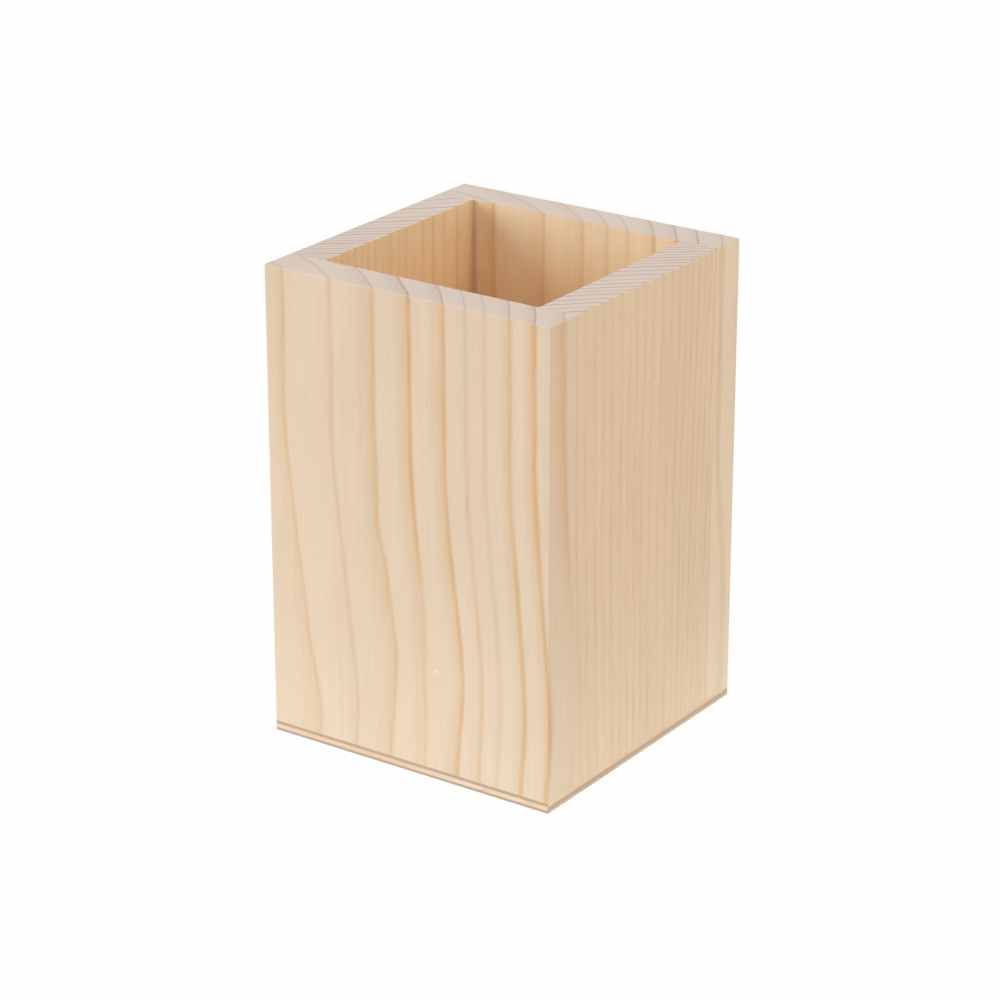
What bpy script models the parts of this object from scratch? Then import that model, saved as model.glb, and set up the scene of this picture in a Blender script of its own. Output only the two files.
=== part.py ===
"""A square pen holder for a desk: four pine boards, glued edge to face, on a three-ply plywood base."""

import bmesh
import bpy
from mathutils import Vector

# Driving dimensions, in metres
WIDTH = 0.080  # outside, left to right
DEPTH = 0.080  # outside, front to back
HEIGHT = 0.119  # from the table to the rim
BOARD_THICKNESS = 0.010
FACE_PLY = 0.0007  # each outer veneer of the base
CORE_PLY = 0.0009  # the veneer between them
GLUE_LINE = 0.0001  # the space that glue fills in every joint
ARRIS = 0.0003  # radius that the outside edges are eased to
ARRIS_SEGMENTS = 2

# Heights above the table
CORE_PLY_BOTTOM = FACE_PLY + GLUE_LINE
TOP_PLY_BOTTOM = CORE_PLY_BOTTOM + CORE_PLY + GLUE_LINE
BOARD_BOTTOM = TOP_PLY_BOTTOM + FACE_PLY + GLUE_LINE

# Sizes of the two kinds of board
BOARD_HEIGHT = HEIGHT - BOARD_BOTTOM
SIDE_BOARD_LENGTH = DEPTH - 2 * (BOARD_THICKNESS + GLUE_LINE)

# Directions that a face can look in
LEFT, RIGHT = Vector((-1, 0, 0)), Vector((1, 0, 0))
FRONT, BACK = Vector((0, -1, 0)), Vector((0, 1, 0))
DOWN, UP = Vector((0, 0, -1)), Vector((0, 0, 1))
AROUND = (LEFT, RIGHT, FRONT, BACK)
SAME_DIRECTION = 0.99  # cosine

# Colours, as 8-bit sRGB
FLAT_SAWN_PINE = (230, 205, 174)
QUARTER_SAWN_PINE = (222, 196, 163)
VENEER_FACE = (214, 182, 150)
VENEER_CORE = (236, 206, 176)
SANDED_ROUGHNESS = 0.6
VENEER_ROUGHNESS = 0.75


def clear_scene():
    for scene_object in list(bpy.data.objects):
        bpy.data.objects.remove(scene_object)


def linear(channel):
    """The linear value of one 8-bit sRGB channel."""
    value = channel / 255
    if value <= 0.04045:
        return value / 12.92
    return ((value + 0.055) / 1.055) ** 2.4


def wood(name, colour, roughness):
    """An unvarnished wood: one Principled BSDF with the piece's colour."""
    material = bpy.data.materials.new(name)
    material.use_nodes = True
    shader = material.node_tree.nodes["Principled BSDF"]
    shader.inputs["Base Color"].default_value = (*map(linear, colour), 1)
    shader.inputs["Roughness"].default_value = roughness
    shader.inputs["Metallic"].default_value = 0
    return material


def looks_outside(face, outside):
    return any(face.normal.dot(direction) > SAME_DIRECTION for direction in outside)


def sawn_piece(name, size, outside, material):
    """A box of this size. The edges between two of its outside faces are eased; a joint's edges stay sharp."""
    shape = bmesh.new()
    bmesh.ops.create_cube(shape, size=1)
    bmesh.ops.scale(shape, vec=size, verts=shape.verts)
    shape.normal_update()
    eased = [edge for edge in shape.edges if all(looks_outside(face, outside) for face in edge.link_faces)]
    bmesh.ops.bevel(
        shape,
        geom=eased,
        offset=ARRIS,
        segments=ARRIS_SEGMENTS,
        profile=0.5,
        affect="EDGES",
        clamp_overlap=True,
    )
    mesh = bpy.data.meshes.new(name)
    shape.to_mesh(mesh)
    shape.free()
    mesh.materials.append(material)
    return bpy.data.objects.new(name, mesh)


def place(piece, holder, location):
    bpy.context.scene.collection.objects.link(piece)
    piece.parent = holder
    piece.location = location


def add_end_boards(holder):
    """The front and back boards: full width, covering the ends of the side boards."""
    size = (WIDTH, BOARD_THICKNESS, BOARD_HEIGHT)
    for name, direction in (("front_board", FRONT), ("back_board", BACK)):
        pine = wood(f"{name}_pine", FLAT_SAWN_PINE, SANDED_ROUGHNESS)
        board = sawn_piece(name, size, (LEFT, RIGHT, direction, UP), pine)
        offset = direction * (DEPTH - BOARD_THICKNESS) / 2
        place(board, holder, offset + UP * (BOARD_BOTTOM + BOARD_HEIGHT / 2))


def add_side_boards(holder):
    """The left and right boards, glued in between the other two."""
    size = (BOARD_THICKNESS, SIDE_BOARD_LENGTH, BOARD_HEIGHT)
    for name, direction in (("left_board", LEFT), ("right_board", RIGHT)):
        pine = wood(f"{name}_pine", QUARTER_SAWN_PINE, SANDED_ROUGHNESS)
        board = sawn_piece(name, size, (direction, UP), pine)
        offset = direction * (WIDTH - BOARD_THICKNESS) / 2
        place(board, holder, offset + UP * (BOARD_BOTTOM + BOARD_HEIGHT / 2))


def add_plywood_base(holder):
    """The three veneers of the base, flush with the boards on every side."""
    plies = (
        ("base_bottom_ply", 0, FACE_PLY, VENEER_FACE, (*AROUND, DOWN)),
        ("base_core_ply", CORE_PLY_BOTTOM, CORE_PLY, VENEER_CORE, AROUND),
        ("base_top_ply", TOP_PLY_BOTTOM, FACE_PLY, VENEER_FACE, AROUND),
    )
    for name, bottom, thickness, colour, outside in plies:
        veneer = wood(f"{name}_veneer", colour, VENEER_ROUGHNESS)
        ply = sawn_piece(name, (WIDTH, DEPTH, thickness), outside, veneer)
        place(ply, holder, UP * (bottom + thickness / 2))


def build():
    clear_scene()
    holder = bpy.data.objects.new("pen_holder", None)
    bpy.context.scene.collection.objects.link(holder)
    add_end_boards(holder)
    add_side_boards(holder)
    add_plywood_base(holder)


build()
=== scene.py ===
import math

import bpy
import numpy as np
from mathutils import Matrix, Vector


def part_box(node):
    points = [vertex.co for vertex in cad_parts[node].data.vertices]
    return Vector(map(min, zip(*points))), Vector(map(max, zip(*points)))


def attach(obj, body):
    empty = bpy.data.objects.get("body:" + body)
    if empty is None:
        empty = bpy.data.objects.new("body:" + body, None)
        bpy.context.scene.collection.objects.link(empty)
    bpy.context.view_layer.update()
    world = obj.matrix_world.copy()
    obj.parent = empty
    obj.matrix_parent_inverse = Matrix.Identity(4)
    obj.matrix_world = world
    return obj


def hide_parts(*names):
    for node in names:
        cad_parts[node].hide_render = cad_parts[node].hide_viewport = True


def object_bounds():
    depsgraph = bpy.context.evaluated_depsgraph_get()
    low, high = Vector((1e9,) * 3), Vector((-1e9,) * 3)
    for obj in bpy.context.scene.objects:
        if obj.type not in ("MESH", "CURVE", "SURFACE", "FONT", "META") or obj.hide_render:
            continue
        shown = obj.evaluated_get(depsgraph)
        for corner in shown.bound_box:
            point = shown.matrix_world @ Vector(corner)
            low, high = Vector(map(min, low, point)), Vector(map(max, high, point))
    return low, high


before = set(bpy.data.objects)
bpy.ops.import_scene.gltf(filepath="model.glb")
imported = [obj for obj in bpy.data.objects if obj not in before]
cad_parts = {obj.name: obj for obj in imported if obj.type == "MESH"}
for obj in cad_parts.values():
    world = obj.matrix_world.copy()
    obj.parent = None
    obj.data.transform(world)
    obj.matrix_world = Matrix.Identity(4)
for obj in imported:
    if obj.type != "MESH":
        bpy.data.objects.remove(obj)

cad_low, cad_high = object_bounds()

MM = 0.001
RIM = cad_high.z / MM  # height of the rim, in millimetres
WELL_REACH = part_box("back_board")[0].y / MM  # from the middle of the well to its sides, in millimetres

# The camera, as the photograph was taken
CAMERA_PLACE = (0.4365, -0.6308, 0.3614)
CAMERA_AZIMUTH = 34.764
CAMERA_ELEVATION = 21.694
LENS_MM = 123.43
SENSOR_MM = 36.0
CLIP_NEAR, CLIP_FAR = 0.01, 20.0

# The light: a pale room, softboxes (azimuth from the front, elevation, watts, colour), and a light table
# under the foot
WORLD_LEVEL = 0.73
DAYLIGHT = (0.9, 1.0, 1.08)
WHITE = (1.0, 1.0, 1.0)
SOFTBOXES = {
    "left_softbox": (-57.0, 22.0, 10.5, DAYLIGHT),
    "right_softbox": (92.0, 36.0, 3.6, WHITE),
    "rear_softbox": (165.0, 30.0, 2.5, WHITE),
    "high_softbox": (40.0, 75.0, 1.1, WHITE),
}
SOFTBOX_AIM = (0, 0, 0.06)
SOFTBOX_DISTANCE = 1.3
SOFTBOX_SIZE = (0.8, 0.8)
TABLE_PLACE = (-0.01, -0.012, -0.00001)
TABLE_SIZE = (0.18, 0.18)
TABLE_WATTS = 0.05
TABLE_COLOUR = (0.76, 1.0, 1.22)
FLOOR_SIZE = 3.0
FLOOR_DROP = 0.00002
FLOOR_GREY = 0.6
FLOOR_WHITENESS = 0.965  # share of plain white that the camera sees in the floor; the rest shows the shadow

# Sawing and sanding, in metres
GLUE_LINE = 0.0001
ARRIS = 0.0003  # radius of the eased edges
ARRIS_ROWS = 3  # rows of the grid that lie in an eased edge
ARRIS_WAVER = 0.5  # share of the radius that sanding may leave out
ARRIS_CYCLES = 60.0  # how fast that changes, per metre
ARRIS_REACH = (1.0, 1.3)  # radii from an eased edge's core to the unsanded box: on a face, on the edge
BOARD_CELL = 0.001
PLY_CELL = 0.002
SMOOTH_ANGLE = math.radians(30)

# Each board's place in its log, in millimetres. The pith is a point (x, y) at the height of the rim. Rings
# cross the line marks_at at the places in marks. Bands and lines say how dark each of those rings grows
# through its year, and in the line that ends it, first near the rim and then near the foot. The sweep moves
# the pith by lean, times the amount at each height. Taper is how much closer the rings are at the foot.
# Bulges push the rings out around a point.
LOGS = {
    "front_board": {
        "pith": (-73.5, -107.0),
        "along": "x",
        "marks_at": -40.0,
        "marks": (-60.0, -50.5, -35.2, -21.3, -8.8, 1.3, 11.0, 17.0, 22.1, 28.9, 35.7, 43.1, 49.5),
        "bands": (
            (0.05, 0.05, 0.2, 0.05, 0.38, 0.52, 0.46, 0.05, 0.05, 0.36, 0.58, 0.42, 0.3),
            (0.05, 0.05, 0.3, 0.1, 0.36, 0.32, 0.5, 0.2, 0.05, 0.3, 0.4, 0.1, 0.0),
        ),
        "lines": (
            (0.3, 0.3, 0.32, 0.38, 0.24, 0.42, 0.3, 0.28, 0.24, 0.26, 0.28, 0.16, 0.3),
            (0.3, 0.3, 0.18, 0.3, 0.2, 0.1, 0.32, 0.26, 0.24, 0.55, 0.4, 0.0, 0.0),
        ),
        "lean": (0.9, 0.4),
        "sweep": ((88.0, 0.0), (22.0, 3.65), (0.0, 2.6)),
        "taper": 0.0,
        "bulges": (
            ((12.5, -40.0, 28.0), (5.0, 8.0, 12.0), 0.9),
            ((-26.0, -40.0, 5.0), (14.0, 8.0, 16.0), 2.4),
            ((-8.5, -40.0, 62.0), (5.0, 8.0, 8.0), -0.8),
            ((-4.2, -40.0, 30.0), (4.0, 8.0, 9.0), 0.8),
            ((5.4, -40.0, 24.0), (3.5, 8.0, 11.0), -0.8),
            ((40.0, -34.0, 78.0), (6.0, 6.0, 20.0), 0.5),
            ((40.0, -40.0, 12.0), (8.0, 8.0, 22.0), 0.6),
        ),
    },
    "back_board": {
        "pith": (-42.0, -14.0),
        "along": "x",
        "marks_at": 30.0,
        "marks": (-41.0, -34.0, -24.3, -9.5, 1.9, 9.0, 14.7, 22.3, 28.6, 34.4, 41.1, 47.5, 54.0),
        "bands": (
            (0.2, 0.2, 0.5, 0.3, 0.26, 0.1, 0.1, 0.3, 0.35, 0.2, 0.05, 0.3, 0.2),
            (0.2, 0.2, 0.5, 0.35, 0.2, 0.1, 0.2, 0.3, 0.3, 0.2, 0.05, 0.3, 0.2),
        ),
        "lines": (
            (0.3, 0.35, 0.2, 0.24, 0.22, 0.25, 0.25, 0.3, 0.35, 0.4, 0.35, 0.4, 0.4),
            (0.3, 0.35, 0.3, 0.3, 0.35, 0.3, 0.35, 0.3, 0.45, 0.3, 0.2, 0.4, 0.4),
        ),
        "lean": (1.0, 0.8),
        "sweep": ((75.0, 0.0), (25.0, 1.8), (0.0, 1.4)),
        "taper": 0.0,
        "bulges": (((-18.0, 40.0, 70.0), (7.0, 8.0, 15.0), 1.4),),
    },
    "left_board": {
        "pith": (-143.0, 115.0),
        "along": "y",
        "marks_at": -38.0,
        "marks": (
            50.0, 44.5, 39.0, 33.6, 28.4, 23.4, 18.8, 14.4, 9.9, 5.5, 1.2, -2.3, -5.4, -8.4, -11.4,
            -14.4, -17.2, -19.8, -22.2, -24.6, -27.0, -29.4, -31.8, -34.2, -36.6, -39.0, -41.4, -43.8, -46.2,
        ),
        "bands": ((0.4, 0.15, 0.3, 0.5, 0.2, 0.35, 0.25), (0.3, 0.4, 0.15, 0.35, 0.5, 0.2, 0.3)),
        "lines": ((0.5, 0.25, 0.35, 0.5, 0.2, 0.4, 0.3), (0.4, 0.5, 0.25, 0.4, 0.5, 0.25, 0.4)),
        "lean": (0.2, -1.0),
        "sweep": ((119.0, 0.0), (40.0, 1.4), (0.0, 0.8)),
        "taper": -0.05,
        "bulges": (
            ((-40.0, -12.0, 40.0), (8.0, 6.0, 14.0), 0.8),
            ((-30.0, 14.0, 108.0), (4.0, 12.0, 20.0), 0.7),
        ),
    },
    "right_board": {
        "pith": (240.0, -230.0),
        "along": "y",
        "marks_at": 40.0,
        "marks": (
            -37.6, -33.8, -30.0, -26.2, -22.2, -18.5, -15.0, -10.9, -7.7, -4.6, -1.2, 2.4, 6.5, 10.3,
            13.9, 17.0, 19.5, 22.2, 24.8, 27.3, 29.7, 32.0, 34.3, 36.6, 38.8, 41.0,
        ),
        "bands": ((0.25, 0.2, 0.25, 0.3, 0.2, 0.25, 0.2), (0.2, 0.25, 0.2, 0.25, 0.3, 0.2, 0.25)),
        "lines": ((0.5, 0.35, 0.45, 0.5, 0.3, 0.45, 0.4), (0.35, 0.4, 0.4, 0.45, 0.45, 0.3, 0.4)),
        "lean": (0.0, 1.0),
        "sweep": ((119.0, 0.0), (60.0, -0.85), (0.0, -0.3)),
        "taper": 0.12,
        "bulges": (((40.0, 1.1, 94.0), (6.0, 2.5, 4.0), 0.5),),
    },
}
RIM_LOOK, FOOT_LOOK = 75.0, 40.0  # heights above and below which a ring keeps one look, in millimetres
RING_START, RING_END = 0.5, 0.2  # share of a year before and after its line in which a ring keeps its look
BAND_START = 0.5  # share of a year after which a ring begins to deepen
LINE_FULL = 0.1  # how long before the year ends its line is darkest, in widths of the line

# Colours, as 8-bit sRGB: each board's earlywood and latewood, the same on the sawn ends, and the worn edges,
# which are also a painted highlight
FACE_TONES = {
    "front_board": ((225, 199, 170), (212, 163, 108)),
    "back_board": ((231, 208, 181), (208, 162, 112)),
    "left_board": ((226, 197, 162), (216, 182, 142)),
    "right_board": ((227, 196, 163), (217, 184, 150)),
}
CUT_TONES = ((202, 185, 171), (153, 123, 108))
WORN_AND_HIGHLIGHT_TONE = (240, 222, 198)
WORN_AND_HIGHLIGHT = 0.22  # share of the worn tone on an eased edge: wear, and a painted highlight

# Colours of each ply, along its grain and across it
PLY_TONES = {
    # the bottom ply's long grain is darker: painted shade where the base meets the floor
    "base_bottom_ply": ((206, 180, 152), (188, 158, 130)),
    "base_core_ply": ((232, 203, 174), (194, 162, 131)),
    "base_top_ply": ((226, 199, 166), (190, 159, 132)),
}

# Tints, linear: the well is more golden, most of all deep down, which is painted warm bounce light; its
# corners hold dried glue and painted shade; the narrow edges of the front and back boards are cut along the
# rays, and flecks of resin are brown
WELL_BOUNCE_TINT = (1.067, 1.06, 0.97, 1.0)
DEEP_WELL_BOUNCE_TINT = (1.165, 1.09, 0.92, 1.0)
DEEP_WELL = 18.0  # millimetres below the rim
LINING_END = (0.1, 0.2)  # millimetres outside the well between which its tint stops
CORNER_GLUE_AND_SHADE_TINT = (0.8, 0.72, 0.75, 1.0)
CORNER_REACH = 1.6  # millimetres
CORNER_DEPTH = 8.0  # millimetres below the rim, where the painted shade in the corners is at its darkest
CORNER_AT_RIM = 0.4  # share of that at the rim
EDGE_TINTS = {"front_board": (0.975, 0.965, 0.932, 1.0), "back_board": (0.985, 0.966, 0.908, 1.0)}
FLECK_TINT = (0.62, 0.5, 0.4, 1.0)
BROWN_SHARES = (0.7, 1.0, 1.3)  # how much a brown shade takes from red, green and blue

# Cosines between which long grain turns into end grain, and a wide face into a narrow edge
CUT_FACING = (0.2, 0.65)
EDGE_FACING = (0.45, 0.8)

# How each kind of board shows its years: the band and the line on the sawn ends, the line's width on a face
# and on the ends in millimetres, how far rings wander, how often they break up on a face, and the strength
# of fibre and flecks
FLAT_SAWN = {
    "cut": (0.5, 1.2), "line_width": 1.2, "cut_width": 0.5, "waver": 0.12, "breaks": 0.2,
    "fibre": 0.03, "flecks": 0.1,
}
QUARTER_SAWN = {
    "cut": (0.35, 1.6), "line_width": 1.0, "cut_width": 0.45, "waver": 0.2, "breaks": 0.6,
    "fibre": 0.04, "flecks": 0.2,
}

# Noise, in cycles to a millimetre: twice across the grain, then along it
SLOW_WANDER = (0.12, 0.12, 0.03)
QUICK_WANDER = (1.2, 1.2, 0.12)
QUICK_SHARE = 0.25
GAP_CYCLES = (0.6, 0.6, 0.06)
FINE_FIBRE = (3.0, 3.0, 0.06)
BROAD_FIBRE = (0.6, 0.6, 0.02)
FIBRE_SHARES = (0.6, 0.4)
FLECK_CYCLES = (1.8, 1.8, 0.16)
CLOUD_CYCLES = (0.05, 0.05, 0.02)
PEEL_CYCLES = (0.035, 0.035, 0.009)
SPECKLE_CYCLES = 4.0
RAGGED_CYCLES = 1.5
SEED_SHIFT = (13.7, 5.3, 9.1)  # millimetres between the noise of one piece and of the next

# Levels of noise: its middle, where most of it lies, and where ring gaps and flecks begin and are full
NOISE_MIDDLE = 0.5
NOISE_RANGE = (0.3, 0.7)
GAP_RANGE = (0.4, 0.6)
FLECK_RANGE = (0.6, 0.75)

# The finish of pine: roughness from dark streaks to pale ones, bump strength and depth in metres, the shares
# of streaks and ring lines in the bump, and how far clouds and end-grain speckle darken and lighten it
SPECULAR = 0.25
PINE_ROUGHNESS = (0.66, 0.56)
PINE_BUMP = (0.15, 0.00005)
PINE_RELIEF = (0.4, 0.6)
CLOUD_TONES = (0.98, 1.02)
CUT_SPECKLE = (0.95, 1.05)

# The finish of veneer, in the same order, and its peeled rings: how many, their tint and their look
VENEER_ROUGHNESS = (0.8, 0.65)
VENEER_BUMP = (0.3, 0.0001)
VENEER_STREAKS = (0.92, 1.06)
VENEER_SPECKLE = (0.85, 1.12)
PEEL_SHIFT = 31.0  # millimetres along the grain between one ply's noise and the next
PEEL_RINGS = 12.0
PEEL_TINT = (0.94, 0.86, 0.74, 1.0)
PEEL_LOOK = {
    "Ring Width": 8.0, "Line Width": 1.2, "Band Depth": 0.5, "Line Depth": 0.4, "Waver": 0.1, "Breaks": 0.4,
}

# Small marks, and painted spots of light and shade: centre and reach in millimetres, colour, and how strong
# it is
MARKS_AND_PAINTED_LIGHT = {
    "front_board": (
        # a pale spot on a dent: painted highlight
        ((8.4, -40.0, 28.0), (1.3, 1.0, 0.6), (246, 226, 206), 0.3),
        ((17.3, -40.0, 72.0), (0.4, 1.0, 4.0), (206, 166, 126), 0.45),
        ((-31.8, -40.0, 3.8), (0.4, 1.0, 1.0), (190, 160, 130), 0.35),
        ((-38.4, -40.0, 8.5), (0.9, 1.0, 6.5), (230, 192, 138), 0.5),
        ((-10.0, -40.0, 48.0), (4.5, 1.0, 9.0), (224, 190, 150), 0.3),
    ),
    "left_board": (
        # a soft dark patch in the well's back corner: painted shade
        ((-30.0, 30.0, 94.0), (1.0, 3.5, 20.0), (196, 162, 122), 0.5),
    ),
    "right_board": (
        ((40.0, 1.1, 94.0), (1.0, 0.35, 1.4), (196, 162, 130), 0.45),
        ((40.0, 14.0, 96.2), (1.0, 0.3, 1.2), (196, 162, 130), 0.3),
    ),
}
MARK_HEART = 0.3  # share of its reach in which a mark is densest
MARK_RAGGEDNESS = 0.6  # how far its edge moves in and out, as a share of its reach


def srgb(red, green, blue):
    """A linear colour from 8-bit sRGB."""
    channels = np.array((red, green, blue)) / 255
    linear = np.where(channels <= 0.04045, channels / 12.92, ((channels + 0.055) / 1.055) ** 2.4)
    return (*linear.tolist(), 1.0)


# Node helpers

def add_node(tree, kind, settings=None, inputs=None):
    """A new node. An input given as a socket is linked, and any other value is set on the socket."""
    node = tree.nodes.new(kind)
    for name, value in (settings or {}).items():
        setattr(node, name, value)
    for key, value in (inputs or {}).items():
        socket = node.inputs[key]
        if isinstance(value, bpy.types.NodeSocket):
            tree.links.new(value, socket)
        else:
            socket.default_value = value
    return node


def math_node(tree, operation, *values, clamp=False):
    settings = {"operation": operation, "use_clamp": clamp}
    return add_node(tree, "ShaderNodeMath", settings, dict(enumerate(values))).outputs[0]


def vector_node(tree, operation, *values):
    node = add_node(tree, "ShaderNodeVectorMath", {"operation": operation}, dict(enumerate(values)))
    return node.outputs["Value" if operation in ("LENGTH", "DOT_PRODUCT") else "Vector"]


def scaled(tree, vector, factor):
    node = add_node(tree, "ShaderNodeVectorMath", {"operation": "SCALE"}, {0: vector, "Scale": factor})
    return node.outputs["Vector"]


def axes_of(tree, vector):
    return add_node(tree, "ShaderNodeSeparateXYZ", None, {0: vector}).outputs


def weighted(tree, values, weights):
    """The sum of some values, each times its weight, held between 0 and 1."""
    total = 0.0
    for value, weight in zip(values, weights):
        total = math_node(tree, "MULTIPLY_ADD", value, weight, total, clamp=True)
    return total


def ramp_between(tree, value, low, high, out_low=0.0, out_high=1.0, smooth=True):
    """Value taken from low..high to out_low..out_high, and held at the ends."""
    settings = {"interpolation_type": "SMOOTHSTEP" if smooth else "LINEAR", "clamp": True}
    inputs = {"Value": value, "From Min": low, "From Max": high, "To Min": out_low, "To Max": out_high}
    return add_node(tree, "ShaderNodeMapRange", settings, inputs).outputs["Result"]


def mix_colours(tree, factor, first, second, blend="MIX"):
    settings = {"data_type": "RGBA", "blend_type": blend}
    return add_node(tree, "ShaderNodeMix", settings, {0: factor, 6: first, 7: second}).outputs[2]


def noise_value(tree, vector, scale=1.0, detail=2.0, roughness=0.5):
    inputs = {"Vector": vector, "Scale": scale, "Detail": detail, "Roughness": roughness}
    return add_node(tree, "ShaderNodeTexNoise", None, inputs).outputs[0]


def stretched_noise(tree, place, cycles, detail=2.0, roughness=0.5):
    """Noise with its own number of cycles to a millimetre along each axis."""
    return noise_value(tree, vector_node(tree, "MULTIPLY", place, cycles), 1.0, detail, roughness)


def new_group(name, kind, inputs, outputs):
    """A node group with named sockets, given as (name, type, default), and its input and output nodes."""
    group = bpy.data.node_groups.new(name, kind)
    for in_out, sockets in (("INPUT", inputs), ("OUTPUT", outputs)):
        for socket_name, kind_of_socket, *default in sockets:
            socket_type = "NodeSocket" + kind_of_socket
            socket = group.interface.new_socket(socket_name, in_out=in_out, socket_type=socket_type)
            if default:
                socket.default_value = default[0]
    return group, group.nodes.new("NodeGroupInput").outputs, group.nodes.new("NodeGroupOutput").inputs


def use_group(tree, group, inputs):
    kind = tree.bl_idname.replace("NodeTree", "NodeGroup")
    return add_node(tree, kind, {"node_tree": group}, inputs).outputs


# The shape of a sawn piece

def plain_box(tree, given):
    """A box's grid, and the place of each of its points. The outermost rows lie in the eased edges."""
    zeros, ones = (0.0,) * 3, (1.0,) * 3
    rows = (ARRIS_ROWS,) * 3
    band = scaled(tree, ones, given["Arris"])
    size = vector_node(tree, "SUBTRACT", given["High"], given["Low"])
    flat_size = vector_node(tree, "SUBTRACT", size, scaled(tree, band, 2.0))
    cell_count = vector_node(tree, "DIVIDE", size, scaled(tree, ones, given["Cell"]))
    cells = vector_node(tree, "MAXIMUM", vector_node(tree, "CEIL", cell_count), ones)
    steps = vector_node(tree, "ADD", cells, (2.0 * ARRIS_ROWS,) * 3)
    counts = axes_of(tree, vector_node(tree, "ADD", steps, ones))
    grid = add_node(tree, "GeometryNodeMeshCube")
    for axis in "XYZ":
        count = add_node(tree, "FunctionNodeFloatToInt", None, {0: counts[axis]}).outputs[0]
        tree.links.new(count, grid.inputs["Vertices " + axis])

    position = tree.nodes.new("GeometryNodeInputPosition").outputs[0]
    step = vector_node(tree, "MULTIPLY", vector_node(tree, "ADD", position, (0.5,) * 3), steps)
    place = given["Low"]
    for start, length, width in (
        (zeros, rows, band),
        (rows, cells, flat_size),
        (vector_node(tree, "ADD", cells, rows), rows, band),
    ):
        along = vector_node(tree, "DIVIDE", vector_node(tree, "SUBTRACT", step, start), length)
        held = vector_node(tree, "MINIMUM", vector_node(tree, "MAXIMUM", along, zeros), ones)
        place = vector_node(tree, "ADD", place, vector_node(tree, "MULTIPLY", held, width))
    return grid.outputs["Mesh"], place


def eased_edges(tree, given, place):
    """Where each point lies once the eased edges are rounded over, and 1 on those edges."""
    shortfall = math_node(tree, "MULTIPLY", noise_value(tree, place, ARRIS_CYCLES), given["Waver"])
    radius = math_node(tree, "MULTIPLY", given["Arris"], math_node(tree, "SUBTRACT", 1.0, shortfall))
    inner_low = vector_node(tree, "ADD", given["Low"], scaled(tree, given["Ease Low"], radius))
    inner_high = vector_node(tree, "SUBTRACT", given["High"], scaled(tree, given["Ease High"], radius))
    core = vector_node(tree, "MINIMUM", vector_node(tree, "MAXIMUM", place, inner_low), inner_high)
    outward = vector_node(tree, "SUBTRACT", place, core)
    rounded = vector_node(tree, "ADD", core, scaled(tree, vector_node(tree, "NORMALIZE", outward), radius))
    reach = math_node(tree, "DIVIDE", vector_node(tree, "LENGTH", outward), radius)
    return rounded, ramp_between(tree, reach, *ARRIS_REACH)


def sawn_piece_tree():
    """A box between two corners. Edges between two eased sides are rounded over, a little unevenly, and the
    rest stay sharp where they meet a neighbour."""
    sockets = (
        ("Low", "Vector"), ("High", "Vector"), ("Ease Low", "Vector"), ("Ease High", "Vector"),
        ("Arris", "Float", ARRIS), ("Waver", "Float", ARRIS_WAVER), ("Cell", "Float", BOARD_CELL),
        ("Material", "Material"),
    )
    tree, given, result = new_group("sawn_piece", "GeometryNodeTree", sockets, (("Geometry", "Geometry"),))
    grid, place = plain_box(tree, given)
    rounded, arris = eased_edges(tree, given, place)
    marked = add_node(
        tree,
        "GeometryNodeStoreNamedAttribute",
        {"data_type": "FLOAT", "domain": "POINT"},
        {"Geometry": grid, "Name": "arris", "Value": arris},
    )
    inputs = {"Geometry": marked.outputs[0], "Position": rounded}
    shaped = add_node(tree, "GeometryNodeSetPosition", None, inputs)
    smooth = add_node(tree, "GeometryNodeSetShadeSmooth", {"domain": "FACE"}, {"Geometry": shaped.outputs[0]})
    angle = tree.nodes.new("GeometryNodeInputMeshEdgeAngle").outputs["Unsigned Angle"]
    creased = add_node(
        tree,
        "GeometryNodeSetShadeSmooth",
        {"domain": "EDGE"},
        {"Geometry": smooth.outputs[0], "Shade Smooth": math_node(tree, "LESS_THAN", angle, SMOOTH_ANGLE)},
    )
    real = add_node(tree, "GeometryNodeRealizeInstances", None, {"Geometry": creased.outputs[0]})
    inputs = {"Geometry": real.outputs[0], "Material": given["Material"]}
    tree.links.new(add_node(tree, "GeometryNodeSetMaterial", None, inputs).outputs[0], result["Geometry"])
    return tree


def plain_mesh_piece(name, tree, values):
    """The tree's result with these input values, as a mesh object with no modifier."""
    maker = bpy.data.objects.new(name + "_maker", bpy.data.meshes.new(name + "_maker"))
    bpy.context.scene.collection.objects.link(maker)
    modifier = maker.modifiers.new("shape", "NODES")
    modifier.node_group = tree
    for item in tree.interface.items_tree:
        if item.in_out == "INPUT" and item.name in values:
            modifier[item.identifier] = values[item.name]
    bpy.context.view_layer.update()
    evaluated = maker.evaluated_get(bpy.context.evaluated_depsgraph_get())
    mesh = bpy.data.meshes.new_from_object(evaluated)
    mesh.name = name
    bpy.data.objects.remove(maker)
    piece = bpy.data.objects.new(name, mesh)
    bpy.context.scene.collection.objects.link(piece)
    return piece


# Growth rings

def smooth_knots(heights, knots):
    """A smooth curve through (height, value) pairs, level at each of them."""
    knots = sorted(knots)
    values = np.full_like(heights, knots[0][1])
    for (low, first), (high, second) in zip(knots, knots[1:]):
        t = np.clip((heights - low) / (high - low), 0, 1)
        values += (second - first) * t * t * (3 - 2 * t)
    return values


def ring_radii(log):
    """How far from the pith each of a log's marks lies."""
    marks = np.array(log["marks"])
    level = np.full_like(marks, log["marks_at"])
    x, y = (marks, level) if log["along"] == "x" else (level, marks)
    return np.hypot(x - log["pith"][0], y - log["pith"][1])


def of_the_ring(growth, values):
    """Each ring's own value from the middle of its year to a little after its line, and a mix in between."""
    number = np.arange(len(values))
    knots = np.column_stack((number - RING_START, number + RING_END)).ravel()
    return np.interp(growth, knots, np.repeat(values, 2))


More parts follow.
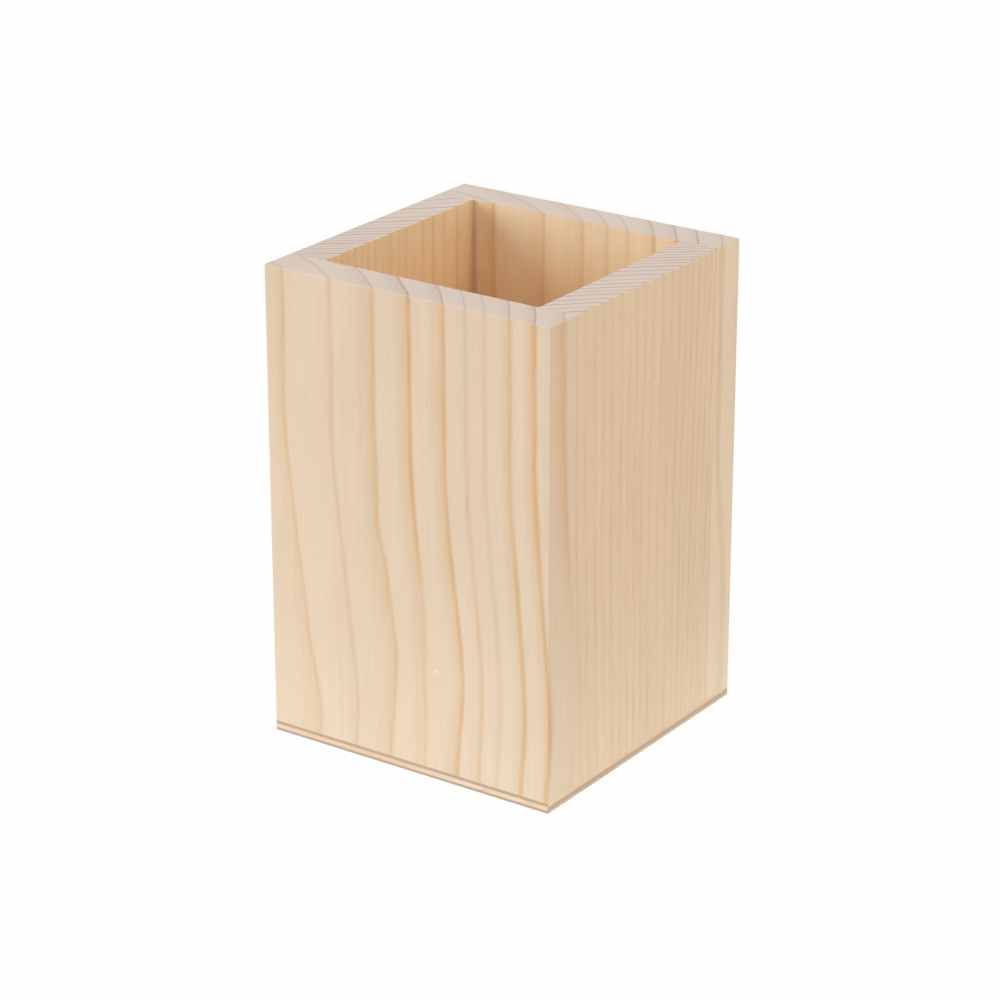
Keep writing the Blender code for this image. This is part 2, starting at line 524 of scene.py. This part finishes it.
def add_growth(piece, log):
    """Stores, at each point, how many rings lie between it and the first mark, and how that ring looks."""
    mesh = piece.data
    points = np.empty(len(mesh.vertices) * 3, np.float32)
    mesh.vertices.foreach_get("co", points)
    points = points.reshape(-1, 3).astype(float) / MM
    x, y, z = points.T
    sweep = smooth_knots(z, log["sweep"])
    radius = np.hypot(
        x - log["pith"][0] - sweep * log["lean"][0],
        y - log["pith"][1] - sweep * log["lean"][1],
    )
    rings = ring_radii(log)
    middle = rings.mean()
    radius = middle + (radius - middle) * (1 + log["taper"] * (1 - z / RIM))
    for centre, reach, push in log["bulges"]:
        radius -= push * np.exp(-(((points - centre) / reach) ** 2).sum(axis=1))
    growth = np.interp(radius, rings, np.arange(len(rings)))
    low_down = smooth_knots(z, ((RIM_LOOK, 0.0), (FOOT_LOOK, 1.0)))
    looks = {"growth": growth, "ring_width": of_the_ring(growth, np.abs(np.gradient(log["marks"])))}
    for name, depths in (("ring_band", log["bands"]), ("ring_line", log["lines"])):
        at_rim, at_foot = (of_the_ring(growth, np.resize(values, len(rings))) for values in depths)
        looks[name] = at_rim + (at_foot - at_rim) * low_down
    for name, values in looks.items():
        attribute = mesh.attributes.new(name, "FLOAT", "POINT")
        attribute.data.foreach_set("value", values.astype(np.float32))


# Finishes that more than one material uses

def ring_figure_group():
    """Growth rings: a band that deepens towards the end of each year, and the line where it stops. Kept is
    how much of both shows on a face, where they break up in places."""
    tree, given, result = new_group(
        "growth_ring_figure",
        "ShaderNodeTree",
        (
            ("Growth", "Float"), ("Ring Width", "Float"), ("Band Depth", "Float"), ("Line Depth", "Float"),
            ("Position", "Vector"), ("Line Width", "Float", 1.0), ("Waver", "Float", 0.1),
            ("Breaks", "Float", 0.2),
        ),
        (("Band", "Float"), ("Line", "Float"), ("Kept", "Float")),
    )
    slow = stretched_noise(tree, given["Position"], SLOW_WANDER, detail=1.0)
    quick = stretched_noise(tree, given["Position"], QUICK_WANDER)
    slow, quick = (math_node(tree, "SUBTRACT", noise, NOISE_MIDDLE) for noise in (slow, quick))
    wander = math_node(tree, "MULTIPLY_ADD", quick, QUICK_SHARE, slow)
    year = math_node(tree, "MULTIPLY_ADD", wander, given["Waver"], given["Growth"])
    season = math_node(tree, "FRACT", year)
    lines_wide = math_node(tree, "DIVIDE", given["Ring Width"], given["Line Width"])
    since = math_node(tree, "MULTIPLY", season, lines_wide)
    until = math_node(tree, "SUBTRACT", lines_wide, since)
    after = ramp_between(tree, since, 0.0, 1.0, 1.0, 0.0)
    band = ramp_between(tree, season, BAND_START, 1.0, smooth=False)
    line = ramp_between(tree, until, 1.0, LINE_FULL)
    for name, rise in (("Band", band), ("Line", line)):
        shade = math_node(tree, "MAXIMUM", rise, after)
        tree.links.new(math_node(tree, "MULTIPLY", shade, given[name + " Depth"]), result[name])
    gaps = ramp_between(tree, stretched_noise(tree, given["Position"], GAP_CYCLES), *GAP_RANGE)
    kept = math_node(tree, "SUBTRACT", 1.0, math_node(tree, "MULTIPLY", gaps, given["Breaks"]))
    tree.links.new(kept, result["Kept"])
    return tree


def fibre_group():
    """Fine streaks along the grain, sparse resin flecks, and slow changes of tone."""
    tree, given, result = new_group(
        "wood_fibre",
        "ShaderNodeTree",
        (("Along Grain", "Vector"), ("Seed", "Float")),
        (("Streak", "Float"), ("Fleck", "Float"), ("Cloud", "Float")),
    )
    place = vector_node(tree, "ADD", given["Along Grain"], scaled(tree, SEED_SHIFT, given["Seed"]))
    fine = stretched_noise(tree, place, FINE_FIBRE, detail=3.0, roughness=0.6)
    broad = stretched_noise(tree, place, BROAD_FIBRE)
    fleck = stretched_noise(tree, place, FLECK_CYCLES, detail=1.0)
    tree.links.new(weighted(tree, (fine, broad), FIBRE_SHARES), result["Streak"])
    tree.links.new(ramp_between(tree, fleck, *FLECK_RANGE), result["Fleck"])
    tree.links.new(stretched_noise(tree, place, CLOUD_CYCLES), result["Cloud"])
    return tree


def end_grain_group():
    """Where a surface cuts across the fibres, and the speckle of their open ends."""
    tree, given, result = new_group(
        "end_grain",
        "ShaderNodeTree",
        (("Position", "Vector"), ("Normal", "Vector"), ("Grain", "Vector")),
        (("Mask", "Float"), ("Speckle", "Float")),
    )
    facing = math_node(tree, "ABSOLUTE", vector_node(tree, "DOT_PRODUCT", given["Normal"], given["Grain"]))
    speckle = noise_value(tree, given["Position"], SPECKLE_CYCLES, detail=3.0, roughness=0.7)
    tree.links.new(ramp_between(tree, facing, *CUT_FACING), result["Mask"])
    tree.links.new(speckle, result["Speckle"])
    return tree


def well_face_group():
    """1 on the faces that line the well and 0 outside it, 1 deep down and 0 at the rim, and how near a face
    is to the well's upright corners, most below the rim: a dark glue line and painted shade there."""
    tree, given, result = new_group(
        "well_face",
        "ShaderNodeTree",
        (("Position", "Vector"),),
        (("Mask", "Float"), ("Depth", "Float"), ("Corner", "Float")),
    )
    away = axes_of(tree, vector_node(tree, "ABSOLUTE", given["Position"]))
    far = math_node(tree, "MAXIMUM", away["X"], away["Y"])
    near = math_node(tree, "MINIMUM", away["X"], away["Y"])
    inner_end, outer_end = (WELL_REACH + distance for distance in LINING_END)
    lining = ramp_between(tree, far, inner_end, outer_end, 1.0, 0.0)
    # Painted shade: the corners grow darker from the rim down to CORNER_DEPTH
    deepening_shade = ramp_between(tree, away["Z"], RIM - CORNER_DEPTH, RIM, 1.0, CORNER_AT_RIM)
    corner = ramp_between(tree, near, WELL_REACH - CORNER_REACH, WELL_REACH, 0.0, deepening_shade)
    tree.links.new(lining, result["Mask"])
    tree.links.new(ramp_between(tree, away["Z"], RIM - DEEP_WELL, RIM, 1.0, 0.0), result["Depth"])
    tree.links.new(math_node(tree, "MULTIPLY", lining, corner), result["Corner"])
    return tree


def small_mark_group():
    """A soft spot, densest at its centre, with a ragged edge."""
    tree, given, result = new_group(
        "small_mark",
        "ShaderNodeTree",
        (("Position", "Vector"), ("Centre", "Vector"), ("Reach", "Vector")),
        (("Mask", "Float"),),
    )
    offset = vector_node(tree, "SUBTRACT", given["Position"], given["Centre"])
    distance = vector_node(tree, "LENGTH", vector_node(tree, "DIVIDE", offset, given["Reach"]))
    noise = noise_value(tree, given["Position"], RAGGED_CYCLES)
    ragged = math_node(tree, "MULTIPLY_ADD", noise, MARK_RAGGEDNESS, -NOISE_MIDDLE * MARK_RAGGEDNESS)
    edge = math_node(tree, "ADD", distance, ragged)
    tree.links.new(ramp_between(tree, edge, MARK_HEART, 1.0, 1.0, 0.0), result["Mask"])
    return tree


# Materials

def principled(name):
    material = bpy.data.materials.new(name)
    material.use_nodes = True
    shader = material.node_tree.nodes["Principled BSDF"]
    shader.inputs["Specular IOR Level"].default_value = SPECULAR
    return material, material.node_tree, shader


def place_and_normal(tree):
    """A point's place in millimetres, and which way the surface faces there."""
    coordinates = tree.nodes.new("ShaderNodeTexCoord").outputs
    return scaled(tree, coordinates["Object"], 1 / MM), coordinates["Normal"]


def attribute_value(tree, name):
    return add_node(tree, "ShaderNodeAttribute", {"attribute_name": name}).outputs["Fac"]


def brown_shade(strength):
    """A tint that takes most from blue and least from red. Below 0 it lightens."""
    return (*(1 - share * strength for share in BROWN_SHARES), 1.0)


def ring_depth(tree, figure):
    """How dark the rings make a face: band and line together, less where they break up."""
    return math_node(tree, "MULTIPLY", math_node(tree, "ADD", figure["Band"], figure["Line"]), figure["Kept"])


def add_bump(tree, shader, height, strength, distance):
    inputs = {"Strength": strength, "Distance": distance, "Height": height}
    bump = add_node(tree, "ShaderNodeBump", None, inputs)
    tree.links.new(bump.outputs[0], shader.inputs["Normal"])


def pine_face(tree, saw, tones, figure, fibre):
    """Pine along its grain: rings from earlywood to latewood, streaks of fibre, and flecks of resin."""
    early, late = (srgb(*tone) for tone in tones)
    face = mix_colours(tree, ring_depth(tree, figure), early, late)
    streaks = ramp_between(tree, fibre["Streak"], *NOISE_RANGE)
    streaks = mix_colours(tree, streaks, brown_shade(saw["fibre"]), brown_shade(-saw["fibre"]))
    face = mix_colours(tree, 1.0, face, streaks, "MULTIPLY")
    flecks = math_node(tree, "MULTIPLY", fibre["Fleck"], saw["flecks"])
    return mix_colours(tree, flecks, face, FLECK_TINT, "MULTIPLY")


def pine_cut(tree, saw, figure, speckle):
    """Pine sawn across its grain: greyer, with thin dark lines and the speckle of open fibres."""
    early, late = (srgb(*tone) for tone in CUT_TONES)
    cut = mix_colours(tree, weighted(tree, (figure["Band"], figure["Line"]), saw["cut"]), early, late)
    return mix_colours(tree, 1.0, cut, ramp_between(tree, speckle, *NOISE_RANGE, *CUT_SPECKLE), "MULTIPLY")


def well_bounce_and_corner_shade(tree, face, well):
    # The walls of the well tinted more golden, most of all deep down: painted warm bounce light
    painted_bounce = mix_colours(tree, well["Depth"], WELL_BOUNCE_TINT, DEEP_WELL_BOUNCE_TINT)
    face = mix_colours(tree, well["Mask"], face, painted_bounce, "MULTIPLY")
    # The upright corners darkened: a dark glue line and painted shade
    return mix_colours(tree, well["Corner"], face, CORNER_GLUE_AND_SHADE_TINT, "MULTIPLY")


def tinted_edges(tree, face, normal, tint):
    sideways = math_node(tree, "ABSOLUTE", axes_of(tree, normal)["X"])
    return mix_colours(tree, ramp_between(tree, sideways, *EDGE_FACING), face, tint, "MULTIPLY")


def marked_face(tree, group, face, place, marks):
    for centre, reach, colour, strength in marks:
        spot = use_group(tree, group, {"Position": place, "Centre": centre, "Reach": reach})["Mask"]
        face = mix_colours(tree, math_node(tree, "MULTIPLY", spot, strength), face, srgb(*colour))
    return face


def pine(name, groups, saw, tones, marks, seed, edge_tint):
    """Bare, sanded pine with its grain upright. The edge tint goes on the narrow sides of a board."""
    material, tree, shader = principled(name)
    place, normal = place_and_normal(tree)
    end = use_group(tree, groups["end"], {"Position": place, "Normal": normal, "Grain": (0, 0, 1)})
    figure = use_group(tree, groups["rings"], {
        "Growth": attribute_value(tree, "growth"),
        "Ring Width": attribute_value(tree, "ring_width"),
        "Band Depth": attribute_value(tree, "ring_band"),
        "Line Depth": attribute_value(tree, "ring_line"),
        "Position": place,
        "Line Width": ramp_between(tree, end["Mask"], 0.0, 1.0, saw["line_width"], saw["cut_width"]),
        "Waver": saw["waver"],
        "Breaks": saw["breaks"],
    })
    fibre = use_group(tree, groups["fibre"], {"Along Grain": place, "Seed": seed})
    well = use_group(tree, groups["well"], {"Position": place})

    face = pine_face(tree, saw, tones, figure, fibre)
    face = well_bounce_and_corner_shade(tree, face, well)
    if edge_tint:
        face = tinted_edges(tree, face, normal, edge_tint)
    face = marked_face(tree, groups["mark"], face, place, marks)
    colour = mix_colours(tree, end["Mask"], face, pine_cut(tree, saw, figure, end["Speckle"]))
    cloud = ramp_between(tree, fibre["Cloud"], *NOISE_RANGE, *CLOUD_TONES)
    colour = mix_colours(tree, 1.0, colour, cloud, "MULTIPLY")
    # Eased edges turn paler: wear, and a painted highlight
    worn_and_highlight = math_node(tree, "MULTIPLY", attribute_value(tree, "arris"), WORN_AND_HIGHLIGHT)
    colour = mix_colours(tree, worn_and_highlight, colour, srgb(*WORN_AND_HIGHLIGHT_TONE))
    tree.links.new(colour, shader.inputs["Base Color"])

    roughness = ramp_between(tree, fibre["Streak"], *NOISE_RANGE, *PINE_ROUGHNESS)
    tree.links.new(roughness, shader.inputs["Roughness"])
    add_bump(tree, shader, weighted(tree, (fibre["Streak"], figure["Line"]), PINE_RELIEF), *PINE_BUMP)
    return material


def veneer(name, groups, tones, grain, seed):
    """One ply of the base, peeled from a log: its rings spread in wide wandering loops. It is pale along its
    grain, and darker where the saw cut across it."""
    material, tree, shader = principled(name)
    place, normal = place_and_normal(tree)
    axis = {"rotation_type": "Y_AXIS" if grain[0] else "X_AXIS"}
    quarter_turn = {"Vector": place, "Angle": math.pi / 2}
    upright = add_node(tree, "ShaderNodeVectorRotate", axis, quarter_turn).outputs[0]
    fibre = use_group(tree, groups["fibre"], {"Along Grain": upright, "Seed": seed})
    end = use_group(tree, groups["end"], {"Position": place, "Normal": normal, "Grain": grain})
    shifted = vector_node(tree, "ADD", upright, (0, 0, PEEL_SHIFT * seed))
    peel = stretched_noise(tree, shifted, PEEL_CYCLES, detail=1.0)
    growth = math_node(tree, "MULTIPLY", peel, PEEL_RINGS)
    figure = use_group(tree, groups["rings"], {"Growth": growth, "Position": upright, **PEEL_LOOK})

    long_tone, end_tone = (srgb(*tone) for tone in tones)
    streaks = ramp_between(tree, fibre["Streak"], *NOISE_RANGE, *VENEER_STREAKS)
    speckle = ramp_between(tree, end["Speckle"], *NOISE_RANGE, *VENEER_SPECKLE)
    peeled = mix_colours(tree, ring_depth(tree, figure), long_tone, PEEL_TINT, "MULTIPLY")
    along = mix_colours(tree, 1.0, peeled, streaks, "MULTIPLY")
    across = mix_colours(tree, 1.0, end_tone, speckle, "MULTIPLY")
    tree.links.new(mix_colours(tree, end["Mask"], along, across), shader.inputs["Base Color"])
    roughness = ramp_between(tree, fibre["Streak"], *NOISE_RANGE, *VENEER_ROUGHNESS)
    tree.links.new(roughness, shader.inputs["Roughness"])
    add_bump(tree, shader, end["Speckle"], *VENEER_BUMP)
    return material


# The pieces

def add_piece(name, node, tree, shape):
    """A sawn piece that stands for a CAD node. Ease gives the sides whose edges are rounded over."""
    low, high, (ease_low, ease_high), cell, material = shape
    piece = plain_mesh_piece(name, tree, {
        "Low": low,
        "High": high,
        "Ease Low": [float(side) for side in ease_low],
        "Ease High": [float(side) for side in ease_high],
        "Arris": ARRIS,
        "Waver": ARRIS_WAVER,
        "Cell": cell,
        "Material": material,
    })
    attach(piece, "root")
    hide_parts(node)
    return piece


def add_boards(tree, groups):
    """The four boards. Each reaches to the middle of its glue lines, so the joints close."""
    # The low and high sides that are eased (x, y, z), and the low and the high ones that are glued (x, y)
    sides = {
        "front_board": (((1, 1, 0), (1, 0, 1)), (0, 0), (0, 1)),
        "back_board": (((1, 0, 0), (1, 1, 1)), (0, 1), (0, 0)),
        "left_board": (((1, 0, 0), (0, 0, 1)), (0, 1), (0, 1)),
        "right_board": (((0, 0, 0), (1, 0, 1)), (0, 1), (0, 1)),
    }
    half_glue = GLUE_LINE / 2
    for seed, (name, log) in enumerate(LOGS.items()):
        ease, glued_low, glued_high = sides[name]
        flat_sawn = log["along"] == "x"
        saw = FLAT_SAWN if flat_sawn else QUARTER_SAWN
        low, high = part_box(name)
        low = low - half_glue * Vector((*glued_low, 1))
        high = high + half_glue * Vector((*glued_high, 0))
        marks, edge_tint = MARKS_AND_PAINTED_LIGHT.get(name, ()), EDGE_TINTS.get(name)
        material = pine(name + "_pine", groups, saw, FACE_TONES[name], marks, seed, edge_tint)
        piece = add_piece(name + "_wood", name, tree, (low, high, ease, BOARD_CELL, material))
        add_growth(piece, log)


def add_base(tree, groups):
    """The three plies of the base, which meet in the middle of their glue lines."""
    around = (1, 1, 0)
    along_x, along_y = (1, 0, 0), (0, 1, 0)
    plies = (
        ("base_bottom_ply", along_y, "ply_face_veneer", ((1, 1, 1), around), 0),
        ("base_core_ply", along_x, "ply_core_veneer", (around, around), 1),
        ("base_top_ply", along_y, "ply_face_veneer", (around, around), 1),
    )
    half_glue = Vector((0, 0, GLUE_LINE / 2))
    for seed, (name, grain, slot, ease, glued_below) in enumerate(plies, start=10):
        low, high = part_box(name)
        material = veneer(name + "_veneer", groups, PLY_TONES[name], grain, seed)
        shape = (low - half_glue * glued_below, high + half_glue, ease, PLY_CELL, material)
        add_piece(name + "_veneer", name, tree, shape)


# The studio

def direction(azimuth, elevation):
    """The way from the object to something at these angles, in degrees. Azimuth 0 is in front, 90 right."""
    azimuth, elevation = math.radians(azimuth), math.radians(elevation)
    level = math.cos(elevation)
    return Vector((math.sin(azimuth) * level, -math.cos(azimuth) * level, math.sin(elevation)))


def add_camera():
    data = bpy.data.cameras.new("camera")
    data.lens = LENS_MM
    data.sensor_width = SENSOR_MM
    data.clip_start, data.clip_end = CLIP_NEAR, CLIP_FAR
    camera = bpy.data.objects.new("camera", data)
    bpy.context.scene.collection.objects.link(camera)
    view = -direction(CAMERA_AZIMUTH, CAMERA_ELEVATION)
    camera.location = CAMERA_PLACE
    camera.rotation_euler = view.to_track_quat("-Z", "Y").to_euler()
    bpy.context.scene.camera = camera


def seen_directly(tree):
    """1 for what the camera sees, straight or in a reflection, and 0 for light that falls on the object."""
    path = tree.nodes.new("ShaderNodeLightPath").outputs
    seen = math_node(tree, "MAXIMUM", path["Is Camera Ray"], path["Is Glossy Ray"])
    return math_node(tree, "MAXIMUM", seen, path["Is Transmission Ray"])


def add_world():
    """A pale room that lights the object, and looks plain white to the camera."""
    world = bpy.data.worlds.new("studio")
    bpy.context.scene.world = world
    world.use_nodes = True
    tree = world.node_tree
    tree.nodes.clear()
    light = add_node(tree, "ShaderNodeBackground", None, {"Color": (*WHITE, 1.0), "Strength": WORLD_LEVEL})
    white = add_node(tree, "ShaderNodeBackground", None, {"Color": (*WHITE, 1.0), "Strength": 1.0})
    inputs = {0: seen_directly(tree), 1: light.outputs[0], 2: white.outputs[0]}
    mix = add_node(tree, "ShaderNodeMixShader", None, inputs)
    add_node(tree, "ShaderNodeOutputWorld", None, {0: mix.outputs[0]})


def white_floor():
    """Pale paint that takes the object's shadow, seen mostly as plain white."""
    material = bpy.data.materials.new("white_floor")
    material.use_nodes = True
    tree = material.node_tree
    tree.nodes.clear()
    grey = (FLOOR_GREY, FLOOR_GREY, FLOOR_GREY, 1.0)
    paint = add_node(tree, "ShaderNodeBsdfDiffuse", None, {"Color": grey})
    white = add_node(tree, "ShaderNodeEmission", None, {"Color": (*WHITE, 1.0), "Strength": 1.0})
    share = math_node(tree, "MULTIPLY", seen_directly(tree), FLOOR_WHITENESS)
    mix = add_node(tree, "ShaderNodeMixShader", None, {0: share, 1: paint.outputs[0], 2: white.outputs[0]})
    add_node(tree, "ShaderNodeOutputMaterial", None, {0: mix.outputs[0]})
    return material


def add_floor():
    mesh = bpy.data.meshes.new("floor")
    corners = [(x * FLOOR_SIZE, y * FLOOR_SIZE, -FLOOR_DROP) for x, y in ((-1, -1), (1, -1), (1, 1), (-1, 1))]
    mesh.from_pydata(corners, [], [(0, 1, 2, 3)])
    mesh.materials.append(white_floor())
    floor = bpy.data.objects.new("floor", mesh)
    bpy.context.scene.collection.objects.link(floor)


def add_lamp(name, place, aim, size, watts, colour):
    data = bpy.data.lights.new(name, "AREA")
    data.shape = "RECTANGLE"
    data.size, data.size_y = size
    data.energy = watts
    data.color = colour
    lamp = bpy.data.objects.new(name, data)
    lamp.location = place
    lamp.rotation_euler = (Vector(aim) - Vector(place)).to_track_quat("-Z", "Y").to_euler()
    lamp.visible_camera = False
    bpy.context.scene.collection.objects.link(lamp)


def add_lamps():
    for name, (azimuth, elevation, watts, colour) in SOFTBOXES.items():
        place = Vector(SOFTBOX_AIM) + SOFTBOX_DISTANCE * direction(azimuth, elevation)
        add_lamp(name, place, SOFTBOX_AIM, SOFTBOX_SIZE, watts, colour)
    above = Vector(TABLE_PLACE) + Vector((0, 0, 1))
    add_lamp("light_table", TABLE_PLACE, above, TABLE_SIZE, TABLE_WATTS, TABLE_COLOUR)


def add_studio():
    bpy.context.scene.view_settings.view_transform = "Standard"
    add_camera()
    add_world()
    add_floor()
    add_lamps()


def build():
    add_studio()
    tree = sawn_piece_tree()
    groups = {
        "rings": ring_figure_group(),
        "fibre": fibre_group(),
        "end": end_grain_group(),
        "well": well_face_group(),
        "mark": small_mark_group(),
    }
    add_boards(tree, groups)
    add_base(tree, groups)


build()
